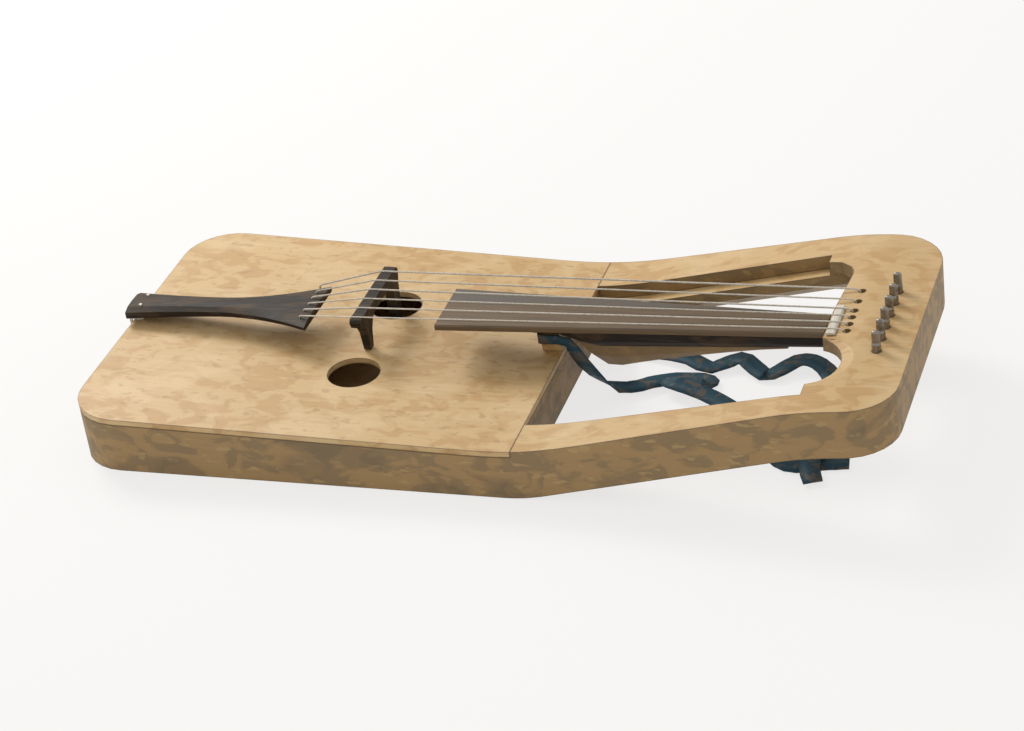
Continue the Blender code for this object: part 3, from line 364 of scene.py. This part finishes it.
class CrwthLook(bpy.types.PropertyGroup):
    """Colours of the crwth, some with painted shade, highlight and sheen in them, and the widths of its
    worn edges.
    """

    front: colour_property("Front", "Tan of the front", (0.55, 0.37, 0.17))
    front_warm: colour_property("Front, warm", "Orange-brown stains on the front", (0.46, 0.27, 0.10))
    front_pale: colour_property("Front, pale", "Pale patches on the front", (0.62, 0.45, 0.24))
    # The body's sides take these side colours instead of the front ones, so their darker, greyer ground is
    # painted shade; the flecks and dark stains are the wood's own, and side and side_dull also stain the
    # soundboard and wedge.
    side: colour_property("Side", "Brown of the sides", (0.33, 0.205, 0.080))
    side_dull: colour_property("Side, dull", "Grey-brown of the sides", (0.215, 0.145, 0.068))
    side_fleck: colour_property("Side, flecks", "Light flecks on the sides", (0.40, 0.27, 0.11))
    side_dark: colour_property("Side, dark", "Dark stains on the sides", (0.145, 0.100, 0.052))
    edge: colour_property("Edge", "Dark worn edges", (0.07, 0.045, 0.02))
    hardwood: colour_property("Hardwood", "Near-black hardwood", (0.014, 0.009, 0.006))
    hardwood_brown: colour_property("Hardwood, brown", "Brown sheen of the hardwood", (0.060, 0.035, 0.018))
    fingerboard: colour_property("Fingerboard", "Brown of the fingerboard", (0.125, 0.080, 0.038))
    # Grey of the painted highlight along the fingerboard's far side, and also the neck's worn lines and
    # edges.
    grey_highlight_and_wear: colour_property("Fingerboard, grey", "Grey streak", (0.085, 0.078, 0.070))
    wedge: colour_property("Wedge", "Light brown of the neck's wedge", (0.20, 0.125, 0.05))
    gut: colour_property("Gut", "Pale gut", (0.62, 0.57, 0.49))
    gut_dark: colour_property("Gut, dark", "Shade in the gut's twist", (0.36, 0.31, 0.24))
    bone: colour_property("Bone", "Old bone", (0.66, 0.62, 0.54))
    iron: colour_property("Iron", "Dark iron", (0.30, 0.28, 0.25))
    iron_brown: colour_property("Iron, brown", "Brown bloom on the iron", (0.12, 0.085, 0.06))
    iron_bright: colour_property("Iron, bright", "Handled edges", (0.42, 0.40, 0.37))
    silk: colour_property("Silk", "Blue of the ribbon", (0.016, 0.060, 0.090))
    # Grey-brown of the ribbon's painted sheen.
    silk_sheen: colour_property("Silk, worn", "Grey-brown wear on the ribbon", (0.105, 0.09, 0.075))
    body_wear: width_property("Body wear", "Width of the body's worn edges", 0.0018)
    soundboard_wear: width_property("Soundboard wear", "Width of the soundboard's worn edges", 0.0016)
    hardwood_wear: width_property("Hardwood wear", "Width of the dark pieces' worn edges", 0.0008)
    iron_wear: width_property("Iron wear", "Width of the pins' handled edges", 0.0009)
    silk_wear: width_property("Silk wear", "Width of the ribbon's dark edges", 0.0006)


class CrwthStage(bpy.types.PropertyGroup):
    """Light and floor."""

    floor: colour_property("Floor", "Pale floor", (0.93, 0.92, 0.91))
    key_power: bpy.props.FloatProperty(
        name="Key", description="Power of the key light", default=26.0, unit="POWER")
    fill: bpy.props.FloatProperty(
        name="Fill", description="Strength of the sky", default=0.72, min=0.0)


class CrwthOperator:
    """What the operators share."""

    bl_options = {"REGISTER", "UNDO"}


class CRWTH_OT_body(CrwthOperator, bpy.types.Operator):
    """Finish the body, the soundboard and the neck's foot and wedge"""

    bl_idname = "crwth.body"
    bl_label = "Body and soundboard"

    def execute(self, context):
        look = context.scene.crwth_look
        paint(body_wood(look), "body")
        soundboard = mottled_wood(
            look, "soundboard_wood", base=look.front, warm=look.front_warm, pale=look.front_pale,
            dull=look.side, roughness=0.46)
        paint(soundboard, "soundboard", "neck_foot")
        wedge = mottled_wood(
            look, "wedge_wood", base=look.wedge, warm=look.side_dull, pale=look.side,
            dull=look.side_dark, roughness=0.5)
        paint(wedge, "neck_wedge")
        return {"FINISHED"}


class CRWTH_OT_hardwood(CrwthOperator, bpy.types.Operator):
    """Finish the dark pieces, the fingerboard and the nut"""

    bl_idname = "crwth.hardwood"
    bl_label = "Neck, bridge and tailpiece"

    def execute(self, context):
        look = context.scene.crwth_look
        paint(dark_wood(look, "tailpiece_wood", worn=look.fingerboard), "tailpiece", "end_button")
        paint(dark_wood(look, "bridge_wood", worn=look.fingerboard), "bridge")
        paint(dark_wood(look, "neck_wood", worn=look.grey_highlight_and_wear), "neck")
        paint(fingerboard_wood(look), "fingerboard")
        paint(bone_finish(look), "nut")
        return {"FINISHED"}


class CRWTH_OT_strings(CrwthOperator, bpy.types.Operator):
    """Finish the strings, their turns, the loop and the pins"""

    bl_idname = "crwth.strings"
    bl_label = "Strings and pins"

    def execute(self, context):
        look = context.scene.crwth_look
        paint(gut_finish(look), "tail_loop", *numbered("string"), *numbered("string_winding"))
        paint(iron_finish(look), *numbered("tuning_pin"))
        return {"FINISHED"}


class CRWTH_OT_ribbon(CrwthOperator, bpy.types.Operator):
    """Lay the silk ribbon where its solid lies"""

    bl_idname = "crwth.ribbon"
    bl_label = "Ribbon"

    def execute(self, context):
        scene = context.scene
        shape = bmesh.new()
        shape.from_mesh(NODES["ribbon"].data)
        bmesh.ops.remove_doubles(shape, verts=shape.verts, dist=MERGE_DISTANCE)
        bmesh.ops.subdivide_edges(shape, edges=shape.edges, cuts=1, use_grid_fill=True)
        for vert in shape.verts:
            wave = math.sin(vert.co.x * RIPPLES_ALONG) * math.sin(vert.co.y * RIPPLES_ACROSS)
            vert.co.z += RIBBON_RIPPLE * (1.0 + wave) / 2
        area = sum(face.calc_area() for face in shape.faces)
        mesh = mesh_from(shape, "silk_ribbon")
        mesh.shade_smooth()
        mesh.set_sharp_from_angle(angle=CREASE_ANGLE)
        mesh.materials.append(silk_finish(scene.crwth_look))
        ribbon = add(scene, "silk_ribbon", mesh)
        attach(ribbon, "frame")
        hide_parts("ribbon")
        area / 2 / RIBBON_WIDTH
        return {"FINISHED"}


def pale_floor(colour):
    """A floor that keeps the shadow, and is brighter to the camera, in metal and through glass."""
    finish = Finish("pale_floor")
    finish.set(Base_Color=colour, Roughness=FLOOR_ROUGHNESS)
    glow = finish.node("ShaderNodeEmission", sockets={"Color": colour, "Strength": 1.0})
    camera = finish.node("ShaderNodeLightPath", output="Is Camera Ray")
    share = (camera + camera.other("Is Glossy Ray") + camera.other("Is Transmission Ray")) * FLOOR_GLOW
    surface = Wire(finish, finish.surface.outputs["BSDF"])
    mixed = finish.node("ShaderNodeMixShader", sockets={0: share, 1: surface, 2: glow})
    finish.tree.links.new(mixed.socket, finish.tree.nodes["Material Output"].inputs["Surface"])
    return finish.material


def lay_floor(scene, stage):
    """A wide pale floor under the back."""
    shape = bmesh.new()
    bmesh.ops.create_grid(shape, x_segments=2, y_segments=2, size=FLOOR_HALF)
    mesh = mesh_from(shape, "floor")
    mesh.materials.append(pale_floor(stage.floor))
    floor = add(scene, "floor", mesh)
    floor.location.z = -FLOOR_DROP


def light(scene, stage):
    """An even sky, and one key light from the far left."""
    world = bpy.data.worlds.new("studio")
    scene.world = world
    world.use_nodes = True
    sky = world.node_tree.nodes["Background"]
    sky.inputs["Color"].default_value = SKY_COLOUR
    sky.inputs["Strength"].default_value = stage.fill

    lamp = bpy.data.lights.new("key", "AREA")
    lamp.energy = stage.key_power
    lamp.size = KEY_SIZE
    lamp.color = KEY_COLOUR
    key = add(scene, "key", lamp)
    key.location = KEY_PLACE
    key.rotation_mode = "QUATERNION"
    key.rotation_quaternion = (KEY_PLACE - CAMERA_TARGET).to_track_quat("Z", "Y")


def aim_camera(scene):
    """The photograph's view."""
    back = Vector((
        math.sin(CAMERA_AZIMUTH) * math.cos(CAMERA_ELEVATION),
        -math.cos(CAMERA_AZIMUTH) * math.cos(CAMERA_ELEVATION),
        math.sin(CAMERA_ELEVATION),
    ))
    level = (-back).cross(WORLD_UP).normalized()
    upright = level.cross(-back)
    right = level * math.cos(CAMERA_ROLL) + upright * math.sin(CAMERA_ROLL)
    up = upright * math.cos(CAMERA_ROLL) - level * math.sin(CAMERA_ROLL)
    lens = bpy.data.cameras.new("camera")
    lens.lens = CAMERA_LENS
    lens.sensor_width = CAMERA_SENSOR
    camera = add(scene, "camera", lens)
    turn = Matrix((right, up, back)).transposed().to_4x4()
    camera.matrix_world = Matrix.Translation(CAMERA_TARGET + back * CAMERA_DISTANCE) @ turn
    scene.camera = camera


class CRWTH_OT_stage(CrwthOperator, bpy.types.Operator):
    """Set the floor, the lights and the camera"""

    bl_idname = "crwth.stage"
    bl_label = "Stage"

    def execute(self, context):
        scene = context.scene
        lay_floor(scene, scene.crwth_stage)
        light(scene, scene.crwth_stage)
        aim_camera(scene)
        scene.view_settings.view_transform = "Standard"
        return {"FINISHED"}


OPERATORS = (CRWTH_OT_body, CRWTH_OT_hardwood, CRWTH_OT_strings, CRWTH_OT_ribbon, CRWTH_OT_stage)


class CRWTH_PT_panel(bpy.types.Panel):
    """List of the crwth's pieces"""

    bl_idname = "CRWTH_PT_panel"
    bl_label = "Crwth"
    bl_space_type = "VIEW_3D"
    bl_region_type = "UI"
    bl_category = "Crwth"

    def draw(self, context):
        for operator in OPERATORS:
            self.layout.operator(operator.bl_idname)


CLASSES = (CrwthLook, CrwthStage, *OPERATORS, CRWTH_PT_panel)


def register():
    """Add the classes and the scene's properties."""
    for thing in CLASSES:
        bpy.utils.register_class(thing)
    bpy.types.Scene.crwth_look = bpy.props.PointerProperty(type=CrwthLook)
    bpy.types.Scene.crwth_stage = bpy.props.PointerProperty(type=CrwthStage)


def unregister():
    """Take them away again."""
    del bpy.types.Scene.crwth_stage
    del bpy.types.Scene.crwth_look
    for thing in reversed(CLASSES):
        bpy.utils.unregister_class(thing)


def main():
    """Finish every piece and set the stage."""
    register()
    bpy.ops.crwth.body()
    bpy.ops.crwth.hardwood()
    bpy.ops.crwth.strings()
    bpy.ops.crwth.ribbon()
    bpy.ops.crwth.stage()


if __name__ == "__main__":
    main()
